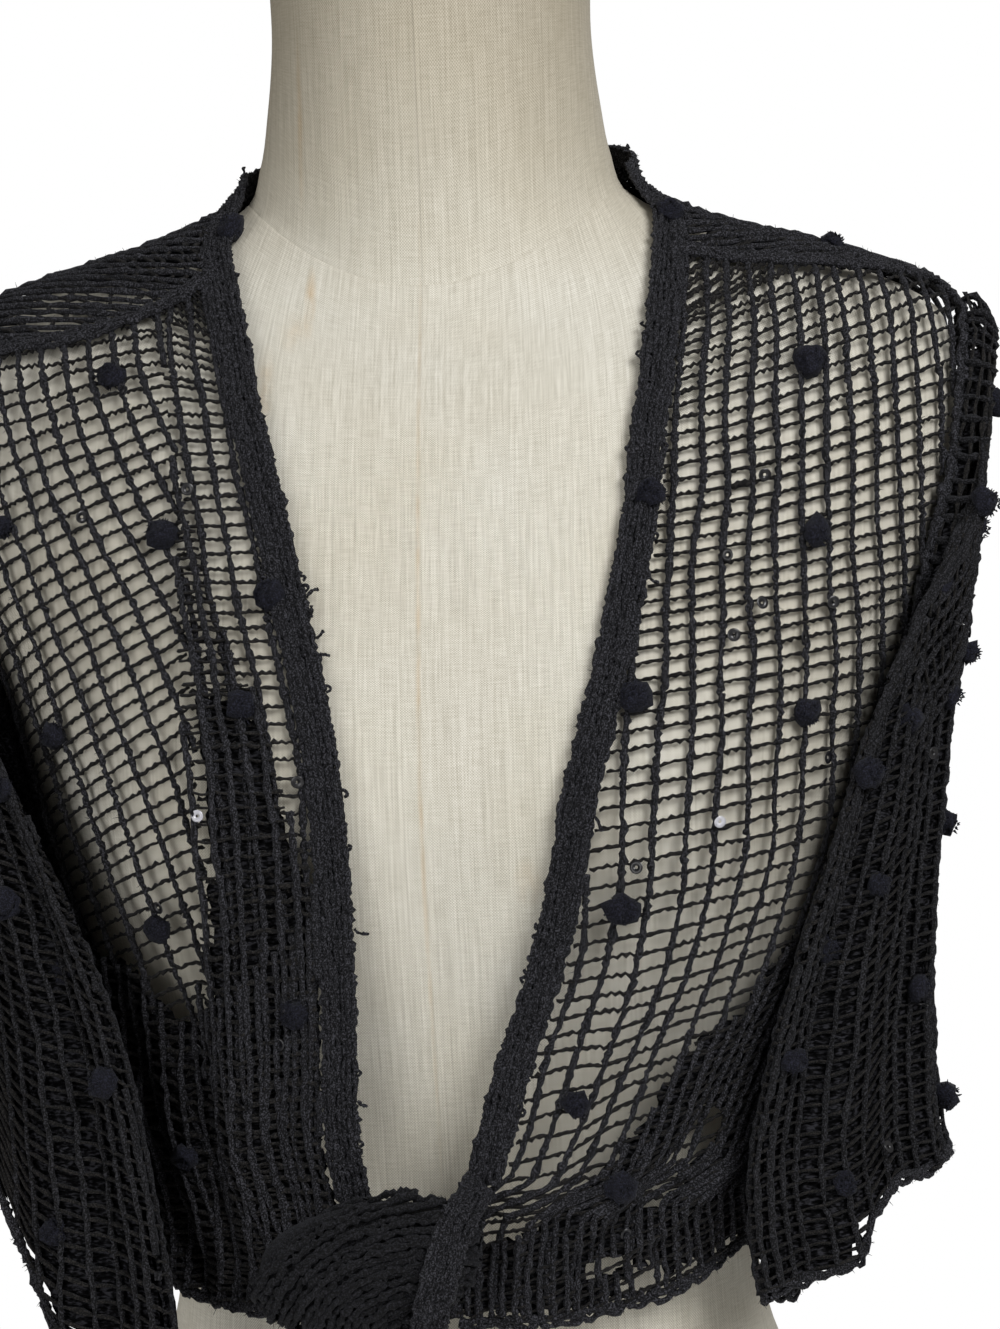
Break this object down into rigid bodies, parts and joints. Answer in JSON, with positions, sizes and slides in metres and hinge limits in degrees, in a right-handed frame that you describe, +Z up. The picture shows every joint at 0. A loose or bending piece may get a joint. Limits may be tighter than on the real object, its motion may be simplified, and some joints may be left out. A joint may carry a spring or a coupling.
{
  "type": "knitted shrug on a dress form",
  "caption": "Open ladder-net knitted shrug, tied at the waist, with wide elbow-length sleeves hanging empty, worn by a limbless linen dress form.",
  "frame": {"origin": "centre of the dress form's base board, on its underside", "axes": "+Z up from the base to the neck, -Y the way the form faces, +X the wearer's left"},
  "size_m": [0.4021, 0.249, 0.6684],
  "materials": {
    "net_yarn": "fuzzy matt black chenille, open net",
    "edging_yarn": "fuzzy matt black chenille, dense",
    "linen": "matt unbleached linen",
    "board": "matt painted board"
  },
  "bodies": {
    "root": {"front_left": "net_yarn", "front_right": "net_yarn", "back": "net_yarn", "sleeve_left": "net_yarn", "sleeve_right": "net_yarn", "front_edging": "edging_yarn", "knot": "edging_yarn", "tie_end_left": "edging_yarn", "tie_end_right": "edging_yarn", "form_torso": "linen", "form_neck": "linen", "form_neck_cap": "board", "form_base": "board"}
  },
  "joints": []
}
